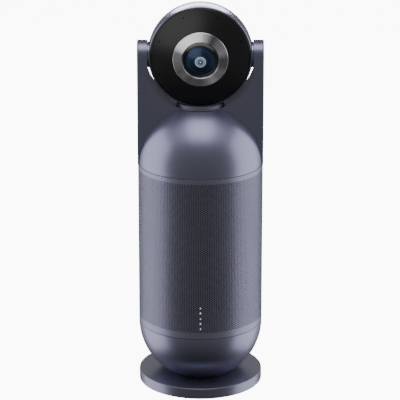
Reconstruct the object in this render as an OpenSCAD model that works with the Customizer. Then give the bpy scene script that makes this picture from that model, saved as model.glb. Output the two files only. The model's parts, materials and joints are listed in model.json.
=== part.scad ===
// Table-top pan and tilt camera on a loudspeaker body.
// Millimetres. +Z is up, the lens looks along -Y, and the origin is on the table
// under the middle of the foot. The pan axis is Z and the tilt axis runs along X.

/* [Body] */
// Diameter of the bowl, the loudspeaker sleeve and the turret dome
body_d = 112; // [94:1:135]
// Height of the loudspeaker sleeve between the middles of its two seams
sleeve_h = 149.7; // [125:0.1:180]
// Width of the open seams under and over the sleeve
seam_w = 0.4; // [0.3:0.1:1.2]
// Wall of the moulded housings
wall = 3; // [2.5:0.1:3.6]
// Gap between pieces that seat in one another
fit = 0.1; // [0.05:0.01:0.15]

/* [Foot and bowl] */
// Height of the foot disc's top above the table
foot_h = 10.3; // [8:0.1:12]
// Thickness of the rubber pad under the foot
pad_t = 2; // [1.6:0.1:2.4]
// How far the pad stands out below the foot disc
pad_proud = 0.3; // [0.2:0.1:1.5]
// Width of the foot disc's rim outside the pad
foot_rim_w = 5; // [4:0.1:8]
// Height of the bowl sphere's lowest point, which the foot hides
bowl_low_z = 1.8; // [1:0.1:3]
// Radius of the circle of pillars that tie the foot to the lower deck
pillar_circle_r = 22; // [18:0.5:24]

/* [Loudspeaker] */
// Wall of the metal sleeve
sleeve_t = 1.2; // [0.8:0.1:1.6]
// Thickness of the acoustic cloth behind the sleeve
cloth_t = 0.8; // [0.5:0.1:1.2]
// Height of the open space below the loudspeaker box, where the sound comes out
horn_h = 31; // [28:0.5:36]
// Open height between the loudspeaker box and the pan motor above it
box_room = 18.7; // [10:0.1:24]
// Radius of the driver's cone at its surround
cone_r = 28; // [24:0.5:30]
// Number of status lamps in the column at the front
lamp_count = 5; // [1:1:5]
// Distance from one lamp to the next
lamp_pitch = 5; // [4:0.1:5.6]
// Height of the lowest lamp above the lower seam
lamp_low = 10; // [9:0.1:12]
// Diameter of a lamp
lamp_d = 1.2; // [0.9:0.1:1.6]

/* [Turret] */
// Depth of the yoke, front to back
yoke_d = 26; // [21:0.5:31]
// Thickness of an arm with its side cover
arm_w = 9.2; // [8.4:0.1:11]
// Thickness of the side covers
cover_t = 2; // [1.6:0.1:2.4]
// Thickness of the inner wall of an arm
arm_wall = 2.2; // [1.8:0.1:2.6]
// Room between the head's sphere and the pocket it turns in
pocket_gap = 4.3; // [3.6:0.1:5]
// How far the head dips below the top of the dome's sphere
head_sink = 3.9; // [3:0.1:4.5]
// Radius of the round pad in the bottom of the pocket
saddle_r = 20.9; // [16:0.1:21]
// Gap between the head and that pad
saddle_gap = 0.8; // [0.7:0.1:1.5]

/* [Pan drive] */
// Tooth size of the pan gears (pitch diameter over teeth)
gear_module = 1; // [0.8:0.05:1.1]
// Teeth of the gear under the turret
gear_teeth = 36; // [30:1:42]
// Teeth of the motor's pinion
pinion_teeth = 12; // [12:1:16]
// Radius of the hollow spindle that the turret turns on
spindle_r = 8; // [7:0.1:9]
// Radial running clearance of the spindle, hubs and motor shafts
run = 0.05; // [0.02:0.01:0.08]

/* [Tilt drive] */
// Running radius of the pulley on the head
head_pulley_r = 8; // [7:0.1:8.4]
// Running radius of the pulley on the tilt motor
motor_pulley_r = 4; // [3.5:0.1:4.4]
// Radius of the head's hub shafts
hub_shaft_r = 4; // [3.5:0.1:4.5]

/* [Head] */
// Length of the hubs between the head's flats and the arms
hub_w = 1.6; // [1.2:0.1:2.4]
// Depth of the flat cut on each side of the head's sphere
flat_cut = 1.5; // [1.2:0.1:2]
// Distance from the tilt axis forward to the shell's front edge
front_cut = 10.6; // [9:0.1:12]
// Width of the shell's lip around the front glass
lip_w = 1.2; // [1:0.1:1.6]
// Thickness of the head's shell
shell_t = 2.5; // [2:0.1:2.8]
// Thickness of the front glass
glass_t = 2.2; // [1.8:0.1:2.6]
// How far the glass rises from its rim to the steel ring
glass_rise = 7.4; // [6:0.1:8]
// Outer radius of the steel ring
ring_r = 24.3; // [22.5:0.1:28]
// Radius of the steel ring's front edge
ring_front_r = 16.75; // [16.6:0.05:19]
// How far the steel ring rises from the glass to its front edge
ring_rise = 3.5; // [3:0.1:5]
// Radius of the front lens
lens_r = 13.3; // [11:0.1:13.4]
// Number of microphone holes around the glass
mic_count = 8; // [4:1:12]
// Radius of the circle of microphone holes
mic_circle_r = 39; // [36:0.1:40]

/* [Hidden] */

// A true curve in the exact solids, so this only sets how smooth a preview looks.
$fn = 96;

// Colours of the real finishes
slate = [0.24, 0.24, 0.29];
slate_light = [0.42, 0.42, 0.48];
grille_grey = [0.30, 0.30, 0.35];
black = [0.05, 0.05, 0.06];
glass_black = [0.02, 0.02, 0.03];
steel = [0.72, 0.72, 0.74];
board_green = [0.10, 0.32, 0.20];
brass = [0.78, 0.62, 0.30];
rubber = [0.10, 0.10, 0.11];
cloth_grey = [0.13, 0.13, 0.14];
white = [0.92, 0.92, 0.95];

// Radii and heights that follow from the sizes above
body_r = body_d / 2;
seam_low_z = bowl_low_z + body_r;
seam_high_z = seam_low_z + sleeve_h;
bowl_rim_z = seam_low_z - seam_w / 2;
sleeve_low_z = seam_low_z + seam_w / 2;
sleeve_high_z = seam_high_z - seam_w / 2;
turret_low_z = seam_high_z + seam_w / 2;
sleeve_inner_r = body_r - sleeve_t;
cloth_outer_r = sleeve_inner_r - fit;
cloth_inner_r = cloth_outer_r - cloth_t;
deck_r = sleeve_inner_r - 2 * fit;
dome_inner_r = body_r - wall;

// Screws: M3, with a head that sits flat
screw_r = 1.5;
screw_head_r = 2.8;
screw_head_h = 1.8;
thread_depth = 8;

// Foot, bowl and pillars
pad_r = body_r - foot_rim_w;
foot_low_round = 0.8;
foot_top_round = 1;
floor_top_z = foot_h + wall;
deck_spigot = 3;
deck_t = 4;
deck_low_z = bowl_rim_z - deck_spigot;
lower_deck_top_z = bowl_rim_z + deck_t;
board_t = 1.6;
board_z = foot_h + 17.7;
pillar_r = 3.5;
pillar_step_r = 4.6;
main_board_r = sqrt(pow(dome_inner_r, 2) - pow(seam_low_z - board_z, 2)) - 1.5;
cable_hole_r = 6;

// Socket plate at the back of the bowl
port_w = 32;
port_h = 14;
port_low_z = board_z - 1;
port_plate_t = 2;
port_wall = 1.4;
port_face_y = sqrt(pow(body_r, 2) - pow(seam_low_z - port_low_z, 2) - pow(port_w / 2, 2)) - 0.6;
usb_w = 8.94;
usb_h = 3.26;
usb_wall = 0.5;
power_r = 3.2;
power_wall = 1.2;
power_pin_r = 1;
socket_depth = 9;
socket_z = board_z + board_t + power_r + power_wall + 0.2;
usb_x = -7;
power_x = 7;

// Loudspeaker
box_low_z = lower_deck_top_z + horn_h;
box_wall = 3;
rod_r = 2.2;
rod_circle_r = cloth_inner_r - rod_r - 1.2;
box_r = rod_circle_r - rod_r - 1.5;
box_flange_r = cloth_inner_r - 2 * fit;
surround_w = 5;
driver_r = cone_r + surround_w;
basket_flange_r = driver_r + 4;
basket_flange_t = 2.5;
basket_depth = 20;
magnet_r = 20;
magnet_h = 14;
basket_back_r = magnet_r - 2;
cone_depth = 13;
voice_coil_r = 8;
diffuser_r = cone_r + 10;
diffuser_h = 17;

// Status lamps
lamp_face_r = body_r;
lamp_board_y = cloth_inner_r - 1.4;

// Upper deck, spindle and pan drive
deck_high_low_z = sleeve_high_z - deck_t;
spindle_bore_r = spindle_r - 2.6;
spindle_flange_t = 3;
washer_t = 1;
bushing_low_z = sleeve_high_z + washer_t + 0.2;
bushing_r = spindle_r + 2.5;
gear_low_z = sleeve_high_z + 1.8;
gear_t = 4.6;
plate_low_z = gear_low_z + gear_t;
plate_t = 3.5;
plate_top_z = plate_low_z + plate_t;
bushing_top_z = plate_top_z + 0.9;
retainer_t = 2.4;
retainer_r = spindle_r + 3;
spindle_top_z = bushing_top_z + 0.3 + retainer_t + 0.6;
pan_centres = gear_module * (gear_teeth + pinion_teeth) / 2;
backlash = 0.28;
motor_r = 9;
motor_h = 20;
motor_shaft_r = 1.5;
spindle_flange_r = min(spindle_r + 7, pan_centres - motor_r);
box_high_z = deck_high_low_z - motor_h - box_room;
plate_r = sqrt(pow(dome_inner_r, 2) - pow(plate_top_z - seam_high_z, 2)) - 2 * fit;
ledge_w = 5.4;
ledge_t = 3.2;
turret_screw_circle_r = plate_r - ledge_w / 2 - 0.2;

// Head and yoke
arm_inner_x = body_r - arm_w;
flat_x = arm_inner_x - hub_w;
head_r = flat_x + flat_cut;
tilt_z = seam_high_z + body_r - head_sink + head_r;
pocket_r = head_r + pocket_gap;
yoke_r = yoke_d / 2;
cover_x = body_r - cover_t;
cover_gap = 0.15;

// Tilt drive
bush_r = hub_shaft_r + 2.4;
bush_flange_r = hub_shaft_r + 3.6;
bush_flange_t = 0.6;
bush_end_x = arm_inner_x + arm_wall + bush_flange_t;
pulley_end_x = cover_x - 0.6;
pulley_start_x = bush_end_x + 0.3;
belt_gap = 0.2;
belt_t = 1;
yoke_wall = min(2.6, yoke_r - head_pulley_r - 2 * belt_gap - belt_t);
cavity_r = yoke_r - yoke_wall;
tilt_motor_r = 8;
tilt_motor_l = 20;
tilt_shaft_r = 1.2;
tilt_motor_z = plate_top_z + tilt_motor_r + 1.4;
tilt_motor_end_x = arm_inner_x - 5;
bracket_t = 2;
hub_gap = 0.3;
hub_r = sqrt(pow(head_r, 2) - pow(flat_x, 2)) - 0.3;
hub_bore_r = 2.4;
hub_spigot_r = 6;
encoder_r = 7.4;
encoder_drop = 22;

// Front of the head: distances forward of the tilt axis
shell_inner_r = head_r - shell_t;
glass_r = sqrt(pow(head_r, 2) - pow(front_cut, 2)) - lip_w;
glass_seat = 2.5;
ring_base = front_cut + glass_rise;
ring_front = ring_base + ring_rise;
ring_t = 1.4;
crown_u = (pow(glass_r, 2) - pow(ring_r, 2) - pow(glass_rise, 2)) / (2 * glass_rise);
crown_r = sqrt(pow(glass_r, 2) + pow(crown_u, 2));
glass_bore_r = ring_r - 3;
function crown(r) = front_cut - crown_u + sqrt(pow(crown_r, 2) - pow(r, 2));
barrel_r = ring_front_r - ring_t - fit;
barrel_front = ring_front - 2.1;
barrel_back = -10;
barrel_bore_r = lens_r - 0.9;
lens_seat = 2;
lens_edge = barrel_front + 1;
lens_dome_r = 25;
mount_flange_r = barrel_r + 4;
chassis_t = 2;
chassis_back = barrel_back - chassis_t;
ear_x = flat_x - shell_t - 1.6;
ear_half = 9;
mic_board_back = front_cut - 4.2;
ear_front = mic_board_back - 0.4;
chassis_half_h = 12;
board_gap = 4;
mic_board_w = 7;
mic_hole_r = 0.6;

// Points of an arc about c, from angle a to angle b in n steps
function arc(c, r, a, b, n = 6) =
    [for (i = [0:n]) let (t = a + (b - a) * i / n) c + r * [cos(t), sin(t)]];

// Places its children count times around Z at radius r
module around(count, r, first = 0) {
    for (i = [0:count - 1]) rotate([0, 0, first + i * 360 / count]) translate([r, 0, 0]) children();
}

// A tube or disc between two heights
module tube(outer, inner, low, high) {
    difference() {
        translate([0, 0, low]) cylinder(r = outer, h = high - low);
        if (inner > 0) translate([0, 0, low - 1]) cylinder(r = inner, h = high - low + 2);
    }
}

// A slice of a sphere centred at height z, between two heights
module sphere_slice(r, z, low, high) {
    intersection() {
        translate([0, 0, z]) sphere(r = r, $fn = 128);
        translate([-r - 1, -r - 1, low]) cube([2 * r + 2, 2 * r + 2, high - low]);
    }
}

// Turns a shape drawn about Z so that its +Z points along +X
module along_x() { rotate([0, 90, 0]) children(); }

// Turns a profile of radius and forward distance about the lens axis
module about_lens() { translate([0, 0, tilt_z]) rotate([90, 0, 0]) rotate_extrude($fn = 128) children(); }

// A pan-head screw with its head below, its top end at height high
module screw(low, high) {
    translate([0, 0, low]) cylinder(r = screw_head_r, h = screw_head_h);
    translate([0, 0, low + 0.1]) cylinder(r = screw_r, h = high - low - 0.1);
}

// Foot disc: cast metal, with a recess for its pad and four sunk screw holes
module foot_disc() {
    color(slate_light) difference() {
        rotate_extrude($fn = 128) polygon(concat(
            [[0, pad_t], [pad_r + fit, pad_t], [pad_r + fit, pad_proud]],
            arc([body_r - foot_low_round, pad_proud + foot_low_round], foot_low_round, -90, 0),
            arc([body_r - foot_top_round, foot_h - foot_top_round], foot_top_round, 0, 90),
            [[0, foot_h]]));
        around(4, pillar_circle_r, 45) {
            translate([0, 0, -1]) cylinder(r = screw_r + fit, h = foot_h + 2);
            translate([0, 0, -1]) cylinder(r = screw_head_r + fit, h = pad_t + screw_head_h + 1.2);
        }
    }
}

module foot_pad() { color(rubber) tube(pad_r, 0, 0, pad_t - 0.05); }

module foot_screws() {
    color(steel) around(4, pillar_circle_r, 45) screw(pad_t + 0.1, floor_top_z + thread_depth);
}

// The space of the socket tray behind the bowl, from a distance y outwards, with its sides moved in
module port_space(y, inset) {
    translate([-port_w / 2 + inset, y, port_low_z + inset])
        cube([port_w - 2 * inset, body_r, port_h - 2 * inset]);
}

// Lower bowl: half a ball that stands on the foot
module lower_bowl() {
    color(slate) difference() {
        sphere_slice(body_r, seam_low_z, foot_h, bowl_rim_z);
        sphere_slice(dome_inner_r, seam_low_z, floor_top_z, bowl_rim_z + 1);
        around(4, pillar_circle_r, 45) translate([0, 0, foot_h - 1]) cylinder(r = screw_r + fit, h = wall + 2);
        port_space(0, 0);
    }
}

// Socket tray: closes the window in the bowl with a sunk floor that the two sockets open through
module port_plate() {
    color(black) difference() {
        intersection() {
            translate([0, 0, seam_low_z]) sphere(r = body_r - fit, $fn = 128);
            port_space(port_face_y - port_plate_t, fit);
        }
        port_space(port_face_y, fit + port_wall);
        translate([usb_x, port_face_y - port_plate_t - 1, socket_z])
            usb_outline(usb_w / 2 + usb_wall + fit, usb_h / 2 + usb_wall + fit, port_plate_t + 2);
        translate([power_x, port_face_y + 1, socket_z])
            rotate([90, 0, 0]) cylinder(r = power_r + power_wall + fit, h = port_plate_t + 2);
    }
}

// A slot with round ends that runs along Y
module usb_outline(half_w, half_h, depth) {
    translate([-half_w + half_h, 0, -half_h]) cube([2 * (half_w - half_h), depth, 2 * half_h]);
    for (side = [-1, 1]) translate([side * (half_w - half_h), depth, 0])
        rotate([90, 0, 0]) cylinder(r = half_h, h = depth);
}

module usb_socket() {
    color(steel) difference() {
        translate([usb_x, port_face_y - socket_depth, socket_z])
            usb_outline(usb_w / 2 + usb_wall, usb_h / 2 + usb_wall, socket_depth);
        translate([usb_x, port_face_y - socket_depth + 1.5, socket_z])
            usb_outline(usb_w / 2, usb_h / 2, socket_depth);
    }
    color(black) translate([usb_x - 3.3, port_face_y - socket_depth + 1, socket_z - 0.35])
        cube([6.6, socket_depth - 2, 0.7]);
}

module power_socket() {
    color(black) translate([power_x, port_face_y, socket_z]) rotate([90, 0, 0]) {
        difference() {
            cylinder(r = power_r + power_wall, h = socket_depth);
            translate([0, 0, -1]) cylinder(r = power_r, h = socket_depth - 0.5);
        }
        translate([0, 0, 1]) cylinder(r = power_pin_r, h = socket_depth - 1.5);
    }
}

// Pillars: stepped posts that carry the main board and tie the foot to the lower deck
module pillars() {
    color(brass) around(4, pillar_circle_r, 45) difference() {
        union() {
            tube(pillar_step_r, 0, floor_top_z, board_z);
            tube(pillar_r, 0, floor_top_z, deck_low_z);
        }
        translate([0, 0, floor_top_z - 1]) cylinder(r = screw_r + run, h = thread_depth + 2);
        translate([0, 0, deck_low_z - thread_depth - 1]) cylinder(r = screw_r + run, h = thread_depth + 2);
    }
}

// Main board: round, with its back edge cut straight behind the sockets
module main_board() {
    color(board_green) difference() {
        tube(main_board_r, cable_hole_r, board_z, board_z + board_t);
        around(4, pillar_circle_r, 45) translate([0, 0, board_z - 1]) cylinder(r = pillar_r + fit, h = board_t + 2);
        translate([-body_r, port_face_y - port_plate_t - 1, board_z - 1]) cube([body_d, body_r, board_t + 2]);
    }
    color(black) translate([-10, -18, board_z + board_t]) cube([20, 16, 1.8]);
    color(black) for (side = [-1, 1]) translate([side * 26 - 4, -4, board_z + board_t]) cube([8, 8, 3]);
}

// Lower deck: seats in the bowl's rim and carries the sleeve and the loudspeaker
module lower_deck() {
    color(black) difference() {
        union() {
            tube(dome_inner_r - 2 * fit - 0.3, 0, deck_low_z, bowl_rim_z);
            tube(deck_r, 0, bowl_rim_z, lower_deck_top_z);
        }
        translate([0, 0, deck_low_z - 1]) cylinder(r = cable_hole_r, h = deck_t + deck_spigot + 2);
        around(4, pillar_circle_r, 45) {
            translate([0, 0, deck_low_z - 1]) cylinder(r = screw_r + fit, h = deck_t + deck_spigot + 2);
            translate([0, 0, lower_deck_top_z - screw_head_h - 0.1]) cylinder(r = screw_head_r + fit, h = 5);
        }
        around(4, rod_circle_r, 45) translate([0, 0, bowl_rim_z + 1]) cylinder(r = rod_r + run, h = deck_t);
    }
}

module deck_screws() {
    color(steel) around(4, pillar_circle_r, 45) translate([0, 0, lower_deck_top_z]) mirror([0, 0, 1])
        screw(0.05, deck_t + deck_spigot + thread_depth);
}

// Diffuser: a shallow flared cone that turns the driver's sound outwards
module sound_diffuser() {
    flare = 1.45;
    color(black) rotate_extrude() polygon(concat(
        [[0, lower_deck_top_z + 0.05], [diffuser_r, lower_deck_top_z + 0.05]],
        [for (i = [0:8]) let (t = i / 8) [
            (diffuser_r - 1) * (1 - t), lower_deck_top_z + 1.5 + diffuser_h * pow(t, flare)]]));
}

// Loudspeaker box: a closed can with a flange at each end that the tie rods pass through
module speaker_box() {
    color(black) difference() {
        union() {
            tube(box_r, 0, box_low_z, box_high_z);
            tube(box_flange_r, 0, box_low_z, box_low_z + box_wall);
            tube(box_flange_r, 0, box_high_z - box_wall, box_high_z);
        }
        tube(box_r - box_wall, 0, box_low_z + box_wall, box_high_z - box_wall);
        translate([0, 0, box_low_z - 1]) cylinder(r = driver_r + fit, h = box_wall + 2);
        translate([0, 0, box_high_z - box_wall - 1]) cylinder(r = driver_r + fit, h = box_wall + 2);
        around(4, rod_circle_r, 45) translate([0, 0, box_low_z - 1]) cylinder(r = rod_r + fit, h = box_high_z - box_low_z + 2);
    }
}

// Driver basket: flange below the box and a cone-shaped frame that holds the magnet
module speaker_basket() {
    t = 1.5;
    low = box_low_z - basket_flange_t;
    color(slate_light) rotate_extrude() polygon([
        [driver_r - t - 1, low], [basket_flange_r, low], [basket_flange_r, box_low_z - 0.02],
        [driver_r, box_low_z - 0.02], [driver_r, box_low_z + box_wall], [basket_back_r + t, low + basket_depth],
        [basket_back_r + t, low + basket_depth + t], [voice_coil_r + 2, low + basket_depth + t],
        [voice_coil_r + 2, low + basket_depth], [basket_back_r, low + basket_depth],
        [driver_r - t - 1, box_low_z + box_wall]]);
}

module speaker_magnet() {
    low = box_low_z - basket_flange_t + basket_depth + 1.5;
    color(steel) {
        tube(magnet_r, 0, low + 0.02, low + magnet_h);
        tube(voice_coil_r - 0.6, 0, low - 6, low + 0.5);
    }
}

// Cone with its dust cap and voice coil former
module speaker_cone() {
    low = box_low_z - basket_flange_t;
    color(black) {
        rotate_extrude() polygon([
            [cone_r, low], [cone_r, low + 1], [voice_coil_r + 1, low + cone_depth + 1],
            [voice_coil_r, low + cone_depth + 1], [voice_coil_r, low + cone_depth]]);
        tube(voice_coil_r + 1, voice_coil_r, low + cone_depth, low + cone_depth + 5);
        rotate_extrude() polygon(concat(
            [for (i = [0:6]) [voice_coil_r * cos(i * 15), low + cone_depth - 4 * sin(i * 15)]],
            [for (i = [6:-1:0]) [voice_coil_r * cos(i * 15), low + cone_depth + 1 - 4 * sin(i * 15)]]));
    }
}

// Roll of rubber between a disc of radius inner and a frame
module roll(inner, low, up) {
    mid = inner + surround_w / 2;
    rise = surround_w / 2 * 0.9;
    rotate_extrude() polygon(concat(
        [for (i = [0:10]) [mid - rise * cos(i * 18), low + up * (rise * 0.8 + 0.7) * sin(i * 18)]],
        [for (i = [10:-1:0]) [mid - (rise - 0.7) * cos(i * 18), low + up * rise * 0.8 * sin(i * 18)]]));
}

module speaker_surround() { color(rubber) roll(cone_r, box_low_z - basket_flange_t - 0.02, -1); }

// Passive radiator: a weighted disc on a rubber roll in the top of the box
module passive_radiator() {
    color(rubber) {
        tube(cone_r + 0.6, 0, box_high_z - 1.6, box_high_z - 0.4);
        roll(cone_r, box_high_z - 1, 1);
        tube(driver_r, cone_r + surround_w - 0.6, box_high_z - 1.6, box_high_z - 0.2);
    }
    color(steel) tube(12, 0, box_high_z - 0.45, box_high_z + 3);
}

// Tie rods: hold the two decks apart and the loudspeaker box between them
module tie_rods() {
    color(steel) around(4, rod_circle_r, 45) tube(rod_r, 0, bowl_rim_z + 1.05, sleeve_high_z - 1.05);
}

// Lamp holes or lamps, along the front, between two distances from the axis
module lamp_column(r, near, far) {
    for (i = [0:lamp_count - 1]) translate([0, -near, seam_low_z + lamp_low + i * lamp_pitch])
        rotate([90, 0, 0]) cylinder(r = r, h = far - near, $fn = 32);
}

// Sleeve: a sheet metal tube. Its fine perforation is not cut here.
module grille_sleeve() {
    color(grille_grey) difference() {
        tube(body_r, sleeve_inner_r, sleeve_low_z, sleeve_high_z);
        lamp_column(lamp_d / 2 + run, lamp_board_y, body_r + 1);
    }
}

module acoustic_cloth() {
    color(cloth_grey) difference() {
        tube(cloth_outer_r, cloth_inner_r, lower_deck_top_z + fit, deck_high_low_z - fit);
        lamp_column(lamp_d / 2 + run, lamp_board_y, body_r + 1);
    }
}

module lamp_board() {
    half = lamp_pitch / 2;
    color(board_green) translate([-3, -lamp_board_y + fit, seam_low_z + lamp_low - half])
        cube([6, 1.2, lamp_count * lamp_pitch]);
}

// Lamps: light guides that end flush with the sleeve
module lamps() { color(white) lamp_column(lamp_d / 2, lamp_board_y - fit + 0.02, lamp_face_r - 0.02); }

// Upper deck: closes the sleeve and carries the spindle and the pan motor
module upper_deck() {
    color(black) difference() {
        tube(deck_r, spindle_r + fit, deck_high_low_z, sleeve_high_z);
        translate([0, pan_centres, deck_high_low_z - 1]) cylinder(r = motor_shaft_r + 2, h = deck_t + 2);
        around(4, rod_circle_r, 45)
            translate([0, 0, deck_high_low_z - 1]) cylinder(r = rod_r + run, h = deck_t);
    }
}

// Spindle: hollow for the cables, with a flange under the upper deck
module pan_spindle() {
    color(steel) difference() {
        union() {
            tube(spindle_flange_r, 0, deck_high_low_z - spindle_flange_t, deck_high_low_z - 0.02);
            tube(spindle_r, 0, deck_high_low_z - spindle_flange_t, spindle_top_z);
        }
        translate([0, 0, deck_high_low_z - spindle_flange_t - 1])
            cylinder(r = spindle_bore_r, h = spindle_top_z);
    }
}

module thrust_washer() {
    color(white) tube(spindle_r + 5, spindle_r + fit, sleeve_high_z + 0.02, sleeve_high_z + washer_t);
}

module pan_retainer() {
    low = bushing_top_z + 0.3;
    color(steel) tube(retainer_r, spindle_r + 0.02, low, low + retainer_t);
}

module pan_motor() {
    color(steel) translate([0, pan_centres, 0]) difference() {
        union() {
            tube(motor_r, 0, deck_high_low_z - motor_h, deck_high_low_z - 0.02);
            tube(motor_shaft_r + 1.8, 0, deck_high_low_z - 1, sleeve_high_z - 0.5);
        }
        translate([0, 0, deck_high_low_z - motor_h + 2]) cylinder(r = motor_shaft_r + run, h = motor_h + deck_t);
    }
}

// Involute flank: a point of the curve unwound from a base circle of radius b out to radius r
function unwound(b, r) = let (t = sqrt(pow(r / b, 2) - 1)) t * 180 / PI - atan(t);

// A spur gear's outline, with a tooth centred on angle 0
module gear_outline(teeth, pressure = 20, steps = 5) {
    pitch = gear_module * teeth / 2;
    base = pitch * cos(pressure);
    tip = pitch + 0.85 * gear_module;
    root = pitch - 1.2 * gear_module;
    low = max(base, root);
    half = (90 / teeth) - backlash / 2 / pitch * 180 / PI + unwound(base, pitch);
    polygon([for (k = [0:teeth - 1]) each let (a = k * 360 / teeth) concat(
        [root * [cos(a - half), sin(a - half)]],
        [for (i = [0:steps]) let (r = low + (tip - low) * i / steps, h = half - unwound(base, r))
            r * [cos(a - h), sin(a - h)]],
        [for (i = [steps:-1:0]) let (r = low + (tip - low) * i / steps, h = half - unwound(base, r))
            r * [cos(a + h), sin(a + h)]],
        [root * [cos(a + half), sin(a + half)]])]);
}

// Pinion with its motor shaft. A gap between two of its teeth faces the gear.
module pan_pinion() {
    facing = 270 - 180 / pinion_teeth;
    color(brass) translate([0, pan_centres, 0]) {
        translate([0, 0, gear_low_z]) rotate([0, 0, facing]) linear_extrude(gear_t - 0.3)
            gear_outline(pinion_teeth);
        tube(motor_shaft_r, 0, deck_high_low_z - motor_h + 2.3, gear_low_z + gear_t - 0.3);
    }
}

module pan_gear() {
    color(white) difference() {
        translate([0, 0, gear_low_z]) rotate([0, 0, 90]) linear_extrude(gear_t - 0.02) gear_outline(gear_teeth);
        translate([0, 0, gear_low_z - 1]) cylinder(r = bushing_r + 0.03, h = gear_t + 2);
    }
}

module pan_bushing() { color(brass) tube(bushing_r, spindle_r + run, bushing_low_z, bushing_top_z); }

module turret_plate() {
    color(black) difference() {
        tube(plate_r, bushing_r + 0.03, plate_low_z, plate_top_z);
        around(4, turret_screw_circle_r, 45) translate([0, 0, plate_low_z - 1])
            cylinder(r = screw_r + fit, h = plate_t + 2);
    }
}

module turret_screws() {
    color(steel) around(4, turret_screw_circle_r, 45)
        screw(plate_low_z - screw_head_h - 0.02, plate_top_z + ledge_t - 0.4);
}

// Side view of the yoke: a slab with a full-round top about the tilt axis, between two X values
module yoke_slab(half, low, x0, x1) {
    translate([x0, 0, 0]) rotate([90, 0, 90]) linear_extrude(x1 - x0) union() {
        translate([-half, low]) square([2 * half, tilt_z - low]);
        translate([0, tilt_z]) circle(r = half);
    }
}

// The pocket that the head turns in: a ball with flat ends at the arms
module pocket(r, half_x) {
    translate([0, 0, tilt_z]) intersection() {
        sphere(r = r, $fn = 128);
        translate([-half_x, -r - 1, -r - 1]) cube([2 * half_x, 2 * r + 2, 2 * r + 2]);
    }
}

// Hollow of the dome and the yoke, which leaves a wall all round the pocket
module turret_hollow() {
    difference() {
        union() {
            sphere_slice(dome_inner_r, seam_high_z, turret_low_z - 1, seam_high_z + dome_inner_r);
            yoke_slab(cavity_r, plate_top_z + ledge_t, -body_r, body_r);
        }
        pocket(pocket_r + wall, arm_inner_x + arm_wall);
    }
}

// Turret housing: half a ball with a yoke standing on it, its arms open at the sides
module turret_housing() {
    color(slate) difference() {
        union() {
            sphere_slice(body_r, seam_high_z, turret_low_z, seam_high_z + body_r);
            yoke_slab(yoke_r, turret_low_z, -cover_x + cover_gap, cover_x - cover_gap);
        }
        difference() {
            turret_hollow();
            tube(body_r, plate_r - ledge_w, plate_top_z, plate_top_z + ledge_t);
        }
        pocket(pocket_r, arm_inner_x);
        for (side = [-1, 1]) translate([side * body_r, 0, tilt_z]) cube([2 * (cover_t + cover_gap),
            yoke_d + 2 * cover_gap, 2 * (tilt_z - seam_high_z)], center = true);
        translate([-body_r, 0, tilt_z]) along_x() cylinder(r = bush_r, h = body_d);
        around(4, turret_screw_circle_r, 45) translate([0, 0, plate_top_z - 1])
            cylinder(r = screw_r + run, h = ledge_t + 1);
    }
}

// Side cover, drawn on the right
module arm_cover() {
    color(slate) yoke_slab(yoke_r, turret_low_z, cover_x, body_r);
}

module arm_cover_right() { arm_cover(); }
module arm_cover_left() { mirror([1, 0, 0]) arm_cover(); }

// Saddle pad: a round dished pad that lines the bottom of the pocket
module saddle_pad() {
    color(slate_light) intersection() {
        translate([0, 0, tilt_z]) difference() {
            sphere(r = pocket_r - fit, $fn = 128);
            sphere(r = head_r + saddle_gap, $fn = 128);
        }
        translate([0, 0, tilt_z - pocket_r - 1]) cylinder(r = saddle_r, h = pocket_r);
    }
}

module tilt_motor() {
    color(steel) translate([tilt_motor_end_x - tilt_motor_l, 0, tilt_motor_z]) along_x() difference() {
        cylinder(r = tilt_motor_r, h = tilt_motor_l - 0.02);
        translate([0, 0, 2]) cylinder(r = tilt_shaft_r + run, h = tilt_motor_l);
    }
}

// Bracket: stands on the turret plate and holds the tilt motor by its face
module motor_bracket() {
    half = tilt_motor_r + 2;
    color(slate_light) difference() {
        union() {
            translate([tilt_motor_end_x, -half, plate_top_z + 0.02])
                cube([bracket_t, 2 * half, tilt_motor_z + 6 - plate_top_z]);
            translate([tilt_motor_end_x - 12, -half, plate_top_z + 0.02]) cube([12.5, 2 * half, 1.2]);
        }
        translate([tilt_motor_end_x - 1, 0, tilt_motor_z]) along_x()
            cylinder(r = tilt_shaft_r + 1.5, h = bracket_t + 2);
    }
}

// Motor pulley with its shaft
module tilt_pulley() {
    color(brass) translate([0, 0, tilt_motor_z]) along_x() {
        tube(motor_pulley_r, 0, pulley_start_x, pulley_end_x);
        tube(tilt_shaft_r, 0, tilt_motor_end_x - tilt_motor_l + 2.3, pulley_start_x + 1);
    }
}

// Outline round both pulleys, grown by a gap, with +X of the drawing towards the head
module belt_outline(grow) {
    hull() {
        circle(r = motor_pulley_r + grow, $fn = 48);
        translate([tilt_z - tilt_motor_z, 0]) circle(r = head_pulley_r + grow, $fn = 48);
    }
}

module tilt_belt() {
    color(rubber) translate([pulley_start_x + 0.4, 0, tilt_motor_z]) rotate([0, -90, 0]) mirror([0, 0, 1])
        linear_extrude(pulley_end_x - pulley_start_x - 0.8) difference() {
            belt_outline(belt_gap + belt_t);
            belt_outline(belt_gap);
        }
}

// Flanged bush in the arm's inner wall, drawn on the right
module tilt_bush() {
    color(brass) translate([0, 0, tilt_z]) along_x() difference() {
        union() {
            tube(bush_r - 0.02, 0, arm_inner_x + 0.05, bush_end_x);
            tube(bush_flange_r, 0, arm_inner_x + arm_wall + 0.02, bush_end_x);
        }
        translate([0, 0, arm_inner_x - 1]) cylinder(r = hub_shaft_r + run, h = arm_w);
    }
}

module tilt_bush_right() { tilt_bush(); }
module tilt_bush_left() { mirror([1, 0, 0]) tilt_bush(); }

module encoder_board() {
    color(board_green) yoke_slab(cavity_r - 0.8, tilt_z - encoder_drop, -cover_x + 0.3, -cover_x + 1.3);
}

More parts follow.
